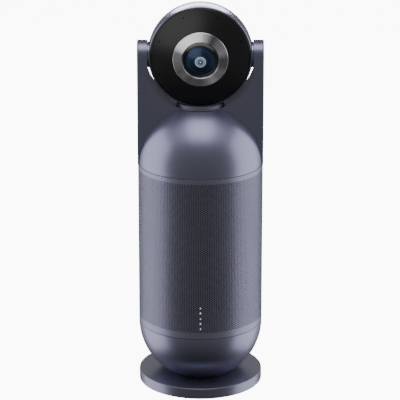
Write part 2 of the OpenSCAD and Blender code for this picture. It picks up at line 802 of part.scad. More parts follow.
// Head shell: a ball with two side flats and a wide round opening at the front
module head_shell() {
    color(slate_light) translate([0, 0, tilt_z]) difference() {
        intersection() {
            sphere(r = head_r, $fn = 128);
            translate([-flat_x, -front_cut, -head_r]) cube([2 * flat_x, front_cut + head_r, 2 * head_r]);
        }
        intersection() {
            sphere(r = shell_inner_r, $fn = 128);
            translate([-flat_x + shell_t, -head_r, -head_r])
                cube([2 * (flat_x - shell_t), 2 * head_r, 2 * head_r]);
        }
        rotate([90, 0, 0]) translate([0, 0, front_cut - glass_seat]) cylinder(r = glass_r + fit, h = 20);
        translate([-head_r, 0, 0]) along_x() cylinder(r = hub_spigot_r + fit, h = 2 * head_r);
    }
}

// Front glass: a shallow black dome with a round hole for the lens and a ring of microphone holes
module front_glass() {
    c = front_cut - crown_u;
    color(glass_black) difference() {
        about_lens() difference() {
            intersection() {
                translate([0, c]) circle(r = crown_r, $fn = 256);
                translate([glass_bore_r, front_cut - glass_seat + 0.02]) square([glass_r - glass_bore_r, 30]);
            }
            intersection() {
                translate([0, c]) circle(r = crown_r - glass_t, $fn = 256);
                square([glass_r - 1.6, 60]);
            }
        }
        translate([0, 0, tilt_z]) rotate([90, 0, 0]) around(mic_count, mic_circle_r, 180 / mic_count)
            cylinder(r = mic_hole_r, h = 40, $fn = 24);
    }
}

// Steel ring: a turned cone that stands on the glass and lines the lens opening
module steel_ring() {
    edge = 0.4;
    color(steel) about_lens() polygon([
        [ring_r, ring_base + 0.05], [ring_r, ring_base + edge], [ring_front_r, ring_front],
        [ring_front_r - ring_t + 0.5, ring_front - 0.3], [ring_front_r - ring_t, ring_front - 1.1],
        [ring_front_r - ring_t, ring_base - 3], [glass_bore_r - fit, ring_base - 3],
        [glass_bore_r - fit, crown(glass_bore_r - fit) + 0.1]]);
}

// Lens ring: a black threaded ring that holds the front lens in its barrel
module lens_ring() {
    color(black) about_lens() polygon([
        [lens_r + fit, barrel_front + 0.02], [barrel_r, barrel_front + 0.02], [barrel_r, barrel_front + 1.5],
        [barrel_r - 0.6, barrel_front + 1.8], [lens_r - 0.2, barrel_front + 1.35],
        [lens_r - 0.2, lens_edge + 0.3], [lens_r + fit, lens_edge + 0.3]]);
}

// Front lens: a flat-backed dome of glass
module front_lens() {
    c = lens_edge - sqrt(pow(lens_dome_r, 2) - pow(lens_r, 2));
    color([0.10, 0.16, 0.24]) about_lens() intersection() {
        translate([0, c]) circle(r = lens_dome_r, $fn = 256);
        translate([0, barrel_front - lens_seat + 0.02]) square([lens_r, 20]);
    }
}

module rear_lens() {
    color([0.10, 0.16, 0.24]) about_lens() translate([0, barrel_front - 15])
        square([barrel_bore_r - 0.02, 3]);
}

// Lens barrel: a black tube with a seat for the front lens and a flange at its back
module lens_barrel() {
    color(black) about_lens() polygon([
        [barrel_bore_r, barrel_back], [mount_flange_r, barrel_back], [mount_flange_r, barrel_back + 2],
        [barrel_r, barrel_back + 2], [barrel_r, barrel_front], [lens_r + fit, barrel_front],
        [lens_r + fit, barrel_front - lens_seat], [barrel_bore_r, barrel_front - lens_seat]]);
}

module sensor_board() {
    color(board_green) translate([-15, -chassis_back + board_gap, tilt_z - 15]) cube([30, board_t, 30]);
    color(black) for (x = [-11, 11], z = [-11, 11])
        translate([x, -chassis_back + board_gap, tilt_z + z]) rotate([90, 0, 0])
            cylinder(r = 1.8, h = board_gap - 0.02, $fn = 32);
}

module image_sensor() {
    color(black) translate([-6.5, -chassis_back + board_gap - 1.5, tilt_z - 5]) cube([13, 1.48, 10]);
}

module microphone_board() {
    color(board_green) about_lens() translate([mic_circle_r - mic_board_w / 2 - 1, mic_board_back])
        square([mic_board_w, board_t]);
}

module microphones() {
    color(steel) translate([0, 0, tilt_z]) rotate([90, 0, 0]) around(mic_count, mic_circle_r, 180 / mic_count)
        translate([-1.5, -1.5, mic_board_back + board_t + 0.02]) cube([3, 3, 1]);
}

// Hub, drawn on the right: a disc beside the head, a spigot through its shell and a shaft through the arm
module hub(end_x, bore) {
    color(steel) translate([0, 0, tilt_z]) along_x() difference() {
        union() {
            tube(hub_spigot_r, 0, ear_x + 0.02, arm_inner_x - hub_gap);
            tube(hub_r, 0, flat_x + 0.02, arm_inner_x - hub_gap);
            tube(hub_shaft_r, 0, ear_x + 0.02, end_x);
        }
        translate([0, 0, ear_x - 1]) cylinder(r = screw_r + run, h = 7);
        if (bore) translate([0, 0, ear_x + 7]) cylinder(r = hub_bore_r, h = arm_w + 20);
    }
}

module hub_right() { hub(pulley_end_x - 0.1, false); }

// The left hub is hollow for the head's cable, and ends in the encoder's disc
module hub_left() {
    mirror([1, 0, 0]) {
        hub(cover_x - 2.6, true);
        color(white) translate([0, 0, tilt_z]) along_x()
            tube(encoder_r, hub_shaft_r - 0.2, bush_end_x + 0.3, cover_x - 2.6);
    }
}

module head_pulley() {
    color(brass) translate([0, 0, tilt_z]) along_x()
        tube(head_pulley_r, hub_shaft_r + 0.02, pulley_start_x, pulley_end_x);
}

// Head chassis: a pressed plate behind the lens with an ear at each hub
module head_chassis() {
    color(slate_light) translate([0, 0, tilt_z]) difference() {
        union() {
            translate([-ear_x, -chassis_back - chassis_t, -ear_half])
                cube([2 * ear_x, chassis_t - 0.02, 2 * ear_half]);
            translate([-mount_flange_r, -chassis_back - chassis_t, -chassis_half_h - 4])
                cube([2 * mount_flange_r, chassis_t - 0.02, 2 * chassis_half_h + 8]);
            for (side = [-1, 1]) translate([side * (ear_x - chassis_t / 2), 0, 0])
                translate([-chassis_t / 2, -ear_front, -ear_half])
                    cube([chassis_t, ear_front - chassis_back - 0.02, 2 * ear_half]);
        }
        rotate([90, 0, 0]) translate([0, 0, chassis_back - 1]) cylinder(r = barrel_bore_r - 3, h = 8);
        translate([-head_r, 0, 0]) along_x() cylinder(r = screw_r + fit, h = 2 * head_r);
    }
}

// Screws that hold the hubs to the chassis ears
module hub_screws() {
    color(steel) translate([0, 0, tilt_z]) for (side = [0, 180]) rotate([0, 0, side]) along_x()
        screw(ear_x - chassis_t - screw_head_h - 0.02, ear_x + 5);
}

foot_disc();
foot_pad();
foot_screws();
lower_bowl();
port_plate();
usb_socket();
power_socket();
pillars();
main_board();
lower_deck();
deck_screws();
sound_diffuser();
speaker_box();
speaker_basket();
speaker_magnet();
speaker_cone();
speaker_surround();
passive_radiator();
tie_rods();
grille_sleeve();
acoustic_cloth();
lamp_board();
lamps();
upper_deck();
pan_spindle();
thrust_washer();
pan_retainer();
pan_motor();
pan_pinion();
turret_housing();
arm_cover_left();
arm_cover_right();
saddle_pad();
turret_plate();
turret_screws();
pan_gear();
pan_bushing();
tilt_motor();
motor_bracket();
tilt_belt();
tilt_bush_left();
tilt_bush_right();
encoder_board();
tilt_pulley();
head_shell();
front_glass();
steel_ring();
lens_ring();
front_lens();
rear_lens();
lens_barrel();
image_sensor();
sensor_board();
microphone_board();
microphones();
hub_left();
hub_right();
head_pulley();
head_chassis();
hub_screws();
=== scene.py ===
"""Table camera: a lens head in a yoke, on a dome that turns on a tall loudspeaker body.

The pieces are made in the order in which the object is put together, from the foot up.
Everything is in metres, with +Z up, the lens looking along -Y and the foot on the origin.
"""
import json
from math import acos, asin, cos, degrees, pi, radians, sin, sqrt

import bmesh
import bpy
from mathutils import Matrix, Vector


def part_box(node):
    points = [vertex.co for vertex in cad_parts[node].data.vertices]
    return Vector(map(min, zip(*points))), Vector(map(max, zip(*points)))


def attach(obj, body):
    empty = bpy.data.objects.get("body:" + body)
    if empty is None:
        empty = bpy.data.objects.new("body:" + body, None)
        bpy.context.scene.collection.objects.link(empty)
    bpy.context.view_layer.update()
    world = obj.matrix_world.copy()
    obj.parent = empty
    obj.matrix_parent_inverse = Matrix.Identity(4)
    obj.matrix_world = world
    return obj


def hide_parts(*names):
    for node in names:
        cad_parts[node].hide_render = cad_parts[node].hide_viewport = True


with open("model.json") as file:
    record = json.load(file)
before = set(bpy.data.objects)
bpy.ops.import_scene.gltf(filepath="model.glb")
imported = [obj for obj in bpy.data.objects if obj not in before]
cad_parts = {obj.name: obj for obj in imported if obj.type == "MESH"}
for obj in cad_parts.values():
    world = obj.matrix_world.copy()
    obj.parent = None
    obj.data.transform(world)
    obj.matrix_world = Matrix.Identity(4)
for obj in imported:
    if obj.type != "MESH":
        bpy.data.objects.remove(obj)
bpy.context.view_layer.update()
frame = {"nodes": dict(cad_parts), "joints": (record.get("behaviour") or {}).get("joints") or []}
MM = 0.001


# ---------------------------------------------------------------- studio
# A plain white floor and backdrop, a large soft light on each side and two overhead. The front
# stays dark, so that the round body shows two long bright bands. Four more lights each shine on
# a few pieces only.

EYE = Vector((0, -2.0585, 0.8546))
EYE_PITCH = radians(90 - 18.375)
LENS = 216.9
FLOOR_HALF = 4.0
BACKDROP = 10.0
FILL_BELOW = 0.01
FILL_ABOVE = 0.17

camera = bpy.data.objects.new("camera", bpy.data.cameras.new("camera"))
camera.data.lens = LENS
camera.data.sensor_width = 36
camera.data.shift_x = -0.0011
camera.location = EYE
camera.rotation_euler = (EYE_PITCH, 0, 0)
bpy.context.scene.collection.objects.link(camera)
bpy.context.scene.camera = camera


def softbox(name, place, aim, width, height, radiance, tint=(1, 1, 1)):
    """A flat light at place, turned to face aim, that shines with one brightness all over."""
    lamp = bpy.data.lights.new(name, "AREA")
    lamp.shape = "RECTANGLE"
    lamp.size = width
    lamp.size_y = height
    lamp.energy = radiance * pi * width * height
    lamp.color = tint
    light = bpy.data.objects.new(name, lamp)
    light.location = place
    light.visible_camera = False
    light.rotation_euler = (Vector(aim) - Vector(place)).to_track_quat("-Z", "Y").to_euler()
    bpy.context.scene.collection.objects.link(light)
    return light


def pieces_lit_by(light, name):
    """A collection for the only pieces that a light shines on."""
    lit = bpy.data.collections.new(name)
    light.light_linking.receiver_collection = lit
    return lit


BODY_AIM = (0, 0, 0.05)
TURRET_AIM = (0, 0, 0.24)
HEAD_AIM = (0, 0, 0.3)
SIDE_TINT = (0.98, 0.96, 1.08)
TOP_TINT = (0.97, 0.96, 1.08)
BACK_TINT = (0.96, 0.96, 1.05)

for side in (-1, 1):
    softbox("side_light", (side * 1.21, 0.20, 0.05), BODY_AIM, 1.5, 2.2, 1.8, SIDE_TINT)
softbox("top_light", (0, -0.29, 1.40), TURRET_AIM, 0.90, 0.95, 1.8, TOP_TINT)
softbox("wide_top_light", (0, -0.32, 1.45), TURRET_AIM, 2.5, 0.9, 0.55, TOP_TINT)
back_light = softbox("back_light", (0, 1.5, 1.05), HEAD_AIM, 1.3, 0.55, 11, BACK_TINT)
back_lit = pieces_lit_by(back_light, "back_lit")
foot_light = softbox("foot_light", (0, 1.5, 0.8), (0, 0, 0), 1.8, 0.7, 0.38)
foot_lit = pieces_lit_by(foot_light, "foot_lit")
key_light = softbox("key_light", (-1.29, -2.76, 1.30), HEAD_AIM, 3.0, 2.6, 1.1)
key_lit = pieces_lit_by(key_light, "key_lit")
ring_light = softbox("ring_light", (0.3, -1.8, -1.3), HEAD_AIM, 1.8, 1.2, 0.5)
ring_lit = pieces_lit_by(ring_light, "ring_lit")

world = bpy.data.worlds.new("studio")
bpy.context.scene.world = world
world.use_nodes = True
sky = world.node_tree
seen_by_camera = sky.nodes.new("ShaderNodeLightPath").outputs["Is Camera Ray"]
shade = sky.nodes.new("ShaderNodeMapRange")
shade.inputs["To Max"].default_value = BACKDROP
heading = sky.nodes.new("ShaderNodeSeparateXYZ")
sky.links.new(sky.nodes.new("ShaderNodeTexCoord").outputs["Generated"], heading.inputs[0])
fill = sky.nodes.new("ShaderNodeMapRange")
fill.inputs["From Min"].default_value = -0.9
fill.inputs["From Max"].default_value = -0.42
fill.inputs["To Min"].default_value = FILL_BELOW
fill.inputs["To Max"].default_value = FILL_ABOVE
sky.links.new(heading.outputs["Z"], fill.inputs["Value"])
sky.links.new(fill.outputs[0], shade.inputs["To Min"])
sky.links.new(seen_by_camera, shade.inputs["Value"])
sky.nodes["Background"].inputs["Color"].default_value = (1, 1, 1, 1)
sky.links.new(shade.outputs[0], sky.nodes["Background"].inputs["Strength"])

bm = bmesh.new()
bmesh.ops.create_grid(bm, x_segments=1, y_segments=1, size=FLOOR_HALF)
floor_mesh = bpy.data.meshes.new("floor")
bm.to_mesh(floor_mesh)
bm.free()
floor = bpy.data.objects.new("floor", floor_mesh)
bpy.context.scene.collection.objects.link(floor)
floor.visible_glossy = False
floor.visible_diffuse = False
floor.visible_shadow = False
floor_paint = bpy.data.materials.new("floor")
floor_paint.use_nodes = True
floor_shader = floor_paint.node_tree.nodes["Principled BSDF"]
floor_shader.inputs["Base Color"].default_value = (0.9, 0.9, 0.9, 1)
floor_shader.inputs["Roughness"].default_value = 1
floor_shader.inputs["Specular IOR Level"].default_value = 0
floor_shader.inputs["Emission Color"].default_value = (1, 1, 1, 1)
floor_shader.inputs["Emission Strength"].default_value = BACKDROP
floor_mesh.materials.append(floor_paint)


# ---------------------------------------------------------------- foot disc
# A cast metal disc, rounded a little along both edges and painted with a slate metallic that is
# slightly darker than the housings. It is turned here from its outline.

class Wire:
    """A socket of a material's node tree. Sums on wires add Math nodes."""

    def __init__(self, finish, socket):
        self.finish, self.socket = finish, socket

    def out(self, name):
        return Wire(self.finish, self.socket.node.outputs[name])

    def math(self, operation, *others):
        return self.finish.node("Math", {"operation": operation}, dict(enumerate((self, *others))))

    def __add__(self, other):
        return self.math("ADD", other)

    def __sub__(self, other):
        return self.math("SUBTRACT", other)

    def __mul__(self, other):
        return self.math("MULTIPLY", other)

    def __truediv__(self, other):
        return self.math("DIVIDE", other)

    def __rsub__(self, other):
        return self.finish.node("Math", {"operation": "SUBTRACT"}, {0: other, 1: self})

    __radd__ = __add__
    __rmul__ = __mul__


class Finish:
    """A surface finish: one material with a Principled shader whose constants are set by name."""

    def __init__(self, name, colour, **constants):
        self.material = bpy.data.materials.new(name)
        self.material.use_nodes = True
        self.tree = self.material.node_tree
        self.shader = self.tree.nodes["Principled BSDF"]
        self.set("Base Color", (*colour, 1))
        for key, value in constants.items():
            self.set(key.replace("_", " "), value)

    def set(self, socket, value):
        self.plug(self.shader.inputs[socket], value)

    def plug(self, socket, value):
        if isinstance(value, Wire):
            self.tree.links.new(value.socket, socket)
        else:
            socket.default_value = value

    def node(self, kind, settings, inputs, output=0):
        node = self.tree.nodes.new("ShaderNode" + kind)
        for name, value in settings.items():
            if name == "stops":
                while len(node.color_ramp.elements) < len(value):
                    node.color_ramp.elements.new(1)
                for stop, (place, colour) in zip(node.color_ramp.elements, value):
                    stop.position, stop.color = place, colour
            else:
                setattr(node, name, value)
        for key, value in inputs.items():
            self.plug(node.inputs[key], value)
        return Wire(self, node.outputs[output])

    def place(self):
        return self.node("TexCoord", {}, {}, "Object")

    def noise(self, scale, detail=2.0, rough=0.5, at=None):
        return self.node("TexNoise", {}, {"Vector": at or self.place(), "Scale": scale,
                                          "Detail": detail, "Roughness": rough})

    def mix(self, amount, first, second):
        return self.node("Mix", {"data_type": "RGBA"}, {0: amount, 6: first, 7: second}, 2)

    def bump(self, height, strength, distance):
        self.set("Normal", self.node("Bump", {}, {"Strength": strength, "Distance": distance,
                                                  "Height": height}))


SLATE = (0.285, 0.288, 0.39)
SLATE_DEEP = (0.24, 0.243, 0.335)
FLAKE_SCALE = 2600
DRIFT_SCALE = 14
PEEL_SCALE = 420
PEEL_DEPTH = 0.2 * MM


def metallic_paint(name, light=SLATE, deep=SLATE_DEEP, roughness=0.36, metallic=0.86):
    """Satin metallic paint: fine flakes, a slow drift of tone and a faint orange peel."""
    paint = Finish(name, light, Coat_Roughness=0.22, IOR=1.5)
    flakes = paint.noise(FLAKE_SCALE, 1, 0.6)
    drift = paint.noise(DRIFT_SCALE, 3)
    paint.set("Base Color", paint.mix(flakes * 0.6 + drift * 0.4, (*deep, 1), (*light, 1)))
    paint.set("Metallic", metallic)
    paint.set("Roughness", roughness + (drift - 0.5) * 0.05 + (flakes - 0.5) * 0.06)
    paint.set("Coat Weight", 0.12)
    paint.bump(paint.noise(PEEL_SCALE, 2), 0.05, PEEL_DEPTH)
    return paint.material


def arc(x, y, radius, start, end, steps=6):
    """Points of an arc about (x, y), from one angle to another in degrees."""
    turn = [radians(start + (end - start) * i / steps) for i in range(steps + 1)]
    return [(x + radius * cos(a), y + radius * sin(a)) for a in turn]


ON_AXIS = 1e-9


def lathe(outline, steps=192):
    """A solid turned about Z from an outline of radius and height. Ends off the axis are joined."""
    bm = bmesh.new()
    verts = [bm.verts.new((r, 0, z)) for r, z in outline]
    pairs = list(zip(verts, verts[1:]))
    if max(outline[0][0], outline[-1][0]) > ON_AXIS:
        pairs.append((verts[-1], verts[0]))
    edges = [bm.edges.new(pair) for pair in pairs]
    bmesh.ops.spin(bm, geom=verts + edges, cent=(0, 0, 0), axis=(0, 0, 1), angle=2 * pi,
                   steps=steps, use_merge=True)
    bmesh.ops.remove_doubles(bm, verts=bm.verts, dist=1e-7)
    bmesh.ops.recalc_face_normals(bm, faces=bm.faces)
    return bm


def crease(bm, limit=32):
    """Smooth faces, with hard edges where two faces meet at more than limit degrees."""
    for face in bm.faces:
        face.smooth = True
    for edge in bm.edges:
        edge.smooth = len(edge.link_faces) == 2 and edge.calc_face_angle() < radians(limit)


def piece(name, bm, material, body, slot, *nodes, weigh=True):
    """Makes a mesh object that rides on a body and stands for CAD nodes; its slot argument is not
    used.
    """
    mesh = bpy.data.meshes.new(name)
    bm.to_mesh(mesh)
    bm.free()
    mesh.materials.append(material)
    made = bpy.data.objects.new(name, mesh)
    bpy.context.scene.collection.objects.link(made)
    if weigh:
        made.modifiers.new("even_shading", "WEIGHTED_NORMAL").keep_sharp = True
    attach(made, body)
    if nodes:
        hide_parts(*nodes)
    return made


low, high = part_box("foot_disc")
pad_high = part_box("foot_pad")[1]
FOOT_R = high.x
FOOT_TOP = high.z
FOOT_LOW_ROUND = 0.8 * MM
FOOT_TOP_ROUND = 1.1 * MM
PAD_BED_R = pad_high.x + 0.1 * MM
FOOT_SLATE = (0.24, 0.243, 0.31)
FOOT_SLATE_DEEP = (0.205, 0.208, 0.27)

bm = lathe([(0, pad_high.z), (PAD_BED_R, pad_high.z), (PAD_BED_R, low.z),
            *arc(FOOT_R - FOOT_LOW_ROUND, low.z + FOOT_LOW_ROUND, FOOT_LOW_ROUND, -90, 0),
            *arc(FOOT_R - FOOT_TOP_ROUND, FOOT_TOP - FOOT_TOP_ROUND, FOOT_TOP_ROUND, 0, 90),
            (0, FOOT_TOP)])
crease(bm)
foot_paint = metallic_paint("foot_paint", FOOT_SLATE, FOOT_SLATE_DEEP, 0.34)
foot_lit.objects.link(piece("foot_disc_body", bm, foot_paint, "stand", "foot_metal", "foot_disc"))


# ---------------------------------------------------------------- foot pad
# A moulded rubber pad that stands a little out of the foot disc and keeps it from sliding.

def dress(node, material):
    """Gives a CAD node its finish."""
    slots = frame["nodes"][node].data.materials
    slots.clear()
    slots.append(material)


rubber = Finish("pad_rubber", (0.02, 0.02, 0.021), Specular_IOR_Level=0.3)
rubber.bump(rubber.noise(900, 3), 0.2, 0.0003)
rubber.set("Roughness", 0.74 + rubber.noise(60) * 0.12)
for node in ("foot_pad", "speaker_surround", "passive_radiator", "tilt_belt"):
    dress(node, rubber.material)


# ---------------------------------------------------------------- lower bowl
# Half a ball of moulded plastic that seems to balance on the foot. Its rim carries the lower
# seam, and a sunk tray at the back holds the sockets.

MERGE = 1e-6


def cut(bm, tool, operation="DIFFERENCE"):
    """Combines two closed meshes and returns the result as a new one."""
    pair = []
    for part in (bm, tool):
        mesh = bpy.data.meshes.new("part")
        part.to_mesh(mesh)
        part.free()
        pair.append(bpy.data.objects.new("part", mesh))
        bpy.context.scene.collection.objects.link(pair[-1])
    boolean = pair[0].modifiers.new("cut", "BOOLEAN")
    boolean.operation = operation
    boolean.solver = "EXACT"
    boolean.object = pair[1]
    bpy.context.view_layer.update()
    shaped = pair[0].evaluated_get(bpy.context.evaluated_depsgraph_get())
    result = bmesh.new()
    result.from_mesh(shaped.to_mesh())
    shaped.to_mesh_clear()
    for part in pair:
        mesh = part.data
        bpy.data.objects.remove(part)
        bpy.data.meshes.remove(mesh)
    bmesh.ops.remove_doubles(result, verts=result.verts, dist=MERGE)
    return result


def block(low, high):
    """A box between two corners."""
    bm = bmesh.new()
    size = [b - a for a, b in zip(low, high)]
    middle = [(a + b) / 2 for a, b in zip(low, high)]
    bmesh.ops.create_cube(bm, size=1, matrix=Matrix.Translation(middle) @ Matrix.Diagonal((*size, 1)))
    return bm


low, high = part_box("lower_bowl")
sleeve_low, sleeve_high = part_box("grille_sleeve")
BODY_R = sleeve_high.x
SEAM_HALF = (sleeve_low.z - high.z) / 2
BOWL_MID_Z = high.z + SEAM_HALF
WALL = 3 * MM
EDGE = 0.15 * MM
EDGE_TURN = 0.4
BOWL_IN_R = BODY_R - WALL

rim_angle = -degrees(asin(SEAM_HALF / BODY_R)) - EDGE_TURN
foot_angle = -degrees(asin((BOWL_MID_Z - low.z) / BODY_R))
inner_low = -degrees(asin((BOWL_MID_Z - low.z - WALL) / BOWL_IN_R))
bm = lathe([(0, low.z), *arc(0, BOWL_MID_Z, BODY_R, foot_angle, rim_angle, 44),
            (BODY_R - EDGE, high.z), (BOWL_IN_R, high.z),
            *arc(0, BOWL_MID_Z, BOWL_IN_R, -1, inner_low, 30), (0, low.z + WALL)])
tray_low, tray_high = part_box("port_plate")
bm = cut(bm, block((tray_low.x, tray_low.y, tray_low.z), (tray_high.x, BODY_R, tray_high.z)))
crease(bm)
bowl_paint = metallic_paint("bowl_paint")
piece("bowl_shell", bm, bowl_paint, "stand", "housing_paint", "lower_bowl")
for node in ("lower_deck", "upper_deck"):
    dress(node, bowl_paint)


# ---------------------------------------------------------------- sockets
# A black tray with a USB socket in a pressed metal shell and a round power socket.

black = Finish("black_plastic", (0.012, 0.012, 0.013), Specular_IOR_Level=0.4)
black.bump(black.noise(1500, 2), 0.12, 0.0001)
black.set("Roughness", 0.46 + black.noise(80) * 0.1)
for node in ("port_plate", "power_socket", "sound_diffuser", "speaker_box",
             "speaker_basket", "turret_plate", "motor_bracket", "lens_barrel",
             "image_sensor", "microphones", "head_chassis"):
    dress(node, black.material)

plain_steel = Finish("plain_steel", (0.56, 0.56, 0.58), Metallic=1.0)
plain_steel.set("Roughness", 0.26 + plain_steel.noise(300, 3) * 0.16)
for node in ("usb_socket", "foot_screws", "deck_screws", "turret_screws", "hub_screws", "tie_rods",
             "pan_spindle", "pan_retainer", "pan_motor", "tilt_motor", "speaker_magnet"):
    dress(node, plain_steel.material)


# ---------------------------------------------------------------- inner pieces
# Boards, bearings and gears that the housings hide, in the finish of the real material.

board = Finish("circuit_board", (0.02, 0.11, 0.05), Roughness=0.4)
board.set("Base Color", board.mix(board.noise(500, 1), (0.02, 0.10, 0.05, 1), (0.03, 0.16, 0.08, 1)))
for node in ("main_board", "lamp_board", "encoder_board", "sensor_board", "microphone_board"):
    dress(node, board.material)

brass = Finish("bearing_brass", (0.70, 0.50, 0.22), Metallic=1.0)
brass.set("Roughness", 0.25 + brass.noise(400, 2) * 0.15)
for node in ("pillars", "pan_bushing", "tilt_bush_left", "tilt_bush_right", "pan_pinion",
             "tilt_pulley", "head_pulley"):
    dress(node, brass.material)

acetal = Finish("white_plastic", (0.8, 0.8, 0.78))
acetal.set("Roughness", 0.38 + acetal.noise(200, 2) * 0.1)
for node in ("thrust_washer", "pan_gear"):
    dress(node, acetal.material)


# ---------------------------------------------------------------- acoustic cloth
# A tube of open black weave, stretched behind the perforated sleeve.

cloth = Finish("acoustic_cloth", (0.008, 0.008, 0.009), Roughness=0.95, Specular_IOR_Level=0.1)
cloth.bump(cloth.noise(2200, 1), 0.4, 0.0002)
cloth.set("Base Color", cloth.mix(cloth.noise(1800, 1), (0.005, 0.005, 0.006, 1),
                                  (0.016, 0.016, 0.018, 1)))
for node in ("acoustic_cloth", "speaker_cone"):
    dress(node, cloth.material)


# ---------------------------------------------------------------- grille sleeve
# Aluminium sheet, punched with staggered rows of round holes and rolled into a tube. One tile
# with its hole is shaped, stacked into two columns that are half a pitch apart, and spun round.

COLUMNS = 220
QUARTERS = 4
HOLE_PITCH = 2.07 * MM
HOLE_ROWS = 67
HOLE_R = 0.66 * MM
SHEET = 0.7 * MM
FOLD = 1.2 * MM

tile_w = 2 * pi * BODY_R / COLUMNS
first_hole_z = (sleeve_low.z + sleeve_high.z) / 2 - (HOLE_ROWS - 0.5) * HOLE_PITCH / 2
grille_top_z = first_hole_z + HOLE_ROWS * HOLE_PITCH


def whole(bm):
    """All the vertices, edges and faces of a mesh."""
    return bm.verts[:] + bm.edges[:] + bm.faces[:]


def only_verts(geom):
    """The vertices of a mixed list."""
    return [g for g in geom if isinstance(g, bmesh.types.BMVert)]


def punched_tile():
    """One flat tile in X and Z, with a round hole whose rim is turned inwards."""
    bm = bmesh.new()
    w, h = tile_w / 2, HOLE_PITCH / 2
    corners = [(w, 0), (w, h), (0, h), (-w, h), (-w, 0), (-w, -h), (0, -h), (w, -h)]
    rim = bm.faces.new([bm.verts.new((x, 0, z)) for x, z in corners])
    bmesh.ops.inset_individual(bm, faces=[rim], thickness=w / 3)
    for vert in rim.verts:
        out = Vector((vert.co.x, 0, vert.co.z)).normalized()
        vert.co = out * HOLE_R
    for edge in rim.edges:
        edge.smooth = False
    wall = bmesh.ops.extrude_discrete_faces(bm, faces=[rim])["faces"][0]
    for vert in wall.verts:
        vert.co.y += SHEET
    bmesh.ops.delete(bm, geom=[wall], context="FACES_ONLY")
    return bm


def stacked(bm, count, step):
    """Repeats a mesh upwards count times."""
    seed = whole(bm)
    for i in range(1, count):
        copy = bmesh.ops.duplicate(bm, geom=seed)["geom"]
        bmesh.ops.translate(bm, vec=(0, 0, i * step), verts=only_verts(copy))
    return bm


def plain_strip(bm, x, z0, z1):
    """A blank piece of the border, one column wide."""
    w = tile_w / 2
    corners = [(-w, z0), (0, z0), (w, z0), (w, z1), (0, z1), (-w, z1)]
    bm.faces.new([bm.verts.new((x + dx, 0, z)) for dx, z in corners])


def two_columns():
    """Two neighbouring columns of holes, the second half a pitch higher, with plain borders."""
    bm = stacked(punched_tile(), HOLE_ROWS, HOLE_PITCH)
    bmesh.ops.translate(bm, vec=(0, 0, first_hole_z + HOLE_PITCH / 2), verts=bm.verts)
    copy = bmesh.ops.duplicate(bm, geom=whole(bm))["geom"]
    bmesh.ops.translate(bm, vec=(tile_w, 0, HOLE_PITCH / 2), verts=only_verts(copy))
    for x, rise in ((0, 0), (tile_w, HOLE_PITCH / 2)):
        plain_strip(bm, x, sleeve_low.z + EDGE, first_hole_z + rise)
        plain_strip(bm, x, grille_top_z + rise, sleeve_high.z - EDGE)
    for vert in bm.verts:
        turn = vert.co.x / BODY_R
        radius = BODY_R - vert.co.y
        vert.co.x = radius * sin(turn)
        vert.co.y = -radius * cos(turn)
    bmesh.ops.remove_doubles(bm, verts=bm.verts, dist=MERGE)
    return bm


GRILLE_SLATE = (0.29, 0.292, 0.38)
GRILLE_SLATE_DEEP = (0.25, 0.252, 0.33)
grille_paint = metallic_paint("grille_paint", GRILLE_SLATE, GRILLE_SLATE_DEEP, 0.42, 0.72)
pair_turn = 4 * pi / COLUMNS
share, left_over = divmod(COLUMNS // 2, QUARTERS)
start = 0
for quarter in range(QUARTERS):
    bm = two_columns()
    pairs = share + (quarter < left_over)
    bmesh.ops.spin(bm, geom=whole(bm), cent=(0, 0, 0), axis=(0, 0, 1),
                   angle=pair_turn * (pairs - 1), steps=pairs - 1, use_duplicate=True)
    bmesh.ops.rotate(bm, cent=(0, 0, 0), matrix=Matrix.Rotation(start * pair_turn, 3, "Z"),
                     verts=bm.verts)
    start += pairs
    bmesh.ops.remove_doubles(bm, verts=bm.verts, dist=2 * MERGE)
    for face in bm.faces:
        face.smooth = True
    grille = piece(f"grille_{quarter + 1}", bm, grille_paint, "stand", "grille_paint", weigh=False)
    if quarter == 0:
        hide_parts("grille_sleeve")

# The sleeve's two edges are folded in, so that they look as thick as the real tube.
for name, edge_z, way in (("grille_edge_low", sleeve_low.z, 1),
                          ("grille_edge_high", sleeve_high.z, -1)):
    bm = lathe([(BODY_R, edge_z + way * EDGE), (BODY_R - EDGE * 0.3, edge_z + way * EDGE * 0.3),
                (BODY_R - EDGE, edge_z), (BODY_R - FOLD, edge_z),
                (BODY_R - FOLD, edge_z + way * EDGE)])
    crease(bm, 60)
    piece(name, bm, grille_paint, "stand", "grille_paint")


# ---------------------------------------------------------------- status lamps
# Five small clear light guides in a column at the front, which end just proud of the sleeve.

lamp_low, lamp_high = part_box("lamps")
LAMPS = 5
LAMP_R = 0.62 * MM
LAMP_TIP_R = LAMP_R * 0.72
LAMP_LENGTH = 2.2 * MM
LAMP_MID_Y = -BODY_R + 1.0 * MM
lamp_step = (lamp_high.z - lamp_low.z - 2 * LAMP_R) / (LAMPS - 1)
glow = Finish("lamp_light", (0.9, 0.92, 0.95), Roughness=0.3, Emission_Strength=1.1)
glow.set("Emission Color", glow.mix(glow.noise(300), (0.86, 0.90, 1, 1), (1, 1, 1, 1)))
bm = bmesh.new()
for i in range(LAMPS):
    middle = Matrix.Translation((0, LAMP_MID_Y, (lamp_low.z + LAMP_R) + i * lamp_step))
    bmesh.ops.create_cone(bm, cap_ends=True, segments=20, radius1=LAMP_R, radius2=LAMP_TIP_R,
                          depth=LAMP_LENGTH, matrix=middle @ Matrix.Rotation(pi / 2, 4, "X"))
crease(bm, 40)
piece("lamp_guides", bm, glow.material, "stand", "lamp_white", "lamps")


# ---------------------------------------------------------------- turret housing
# Dome and yoke in one moulding. The dome swells out of both faces of a flat slab, whose two
# arms end full round, and a round pocket with softened edges is cut through it for the head.

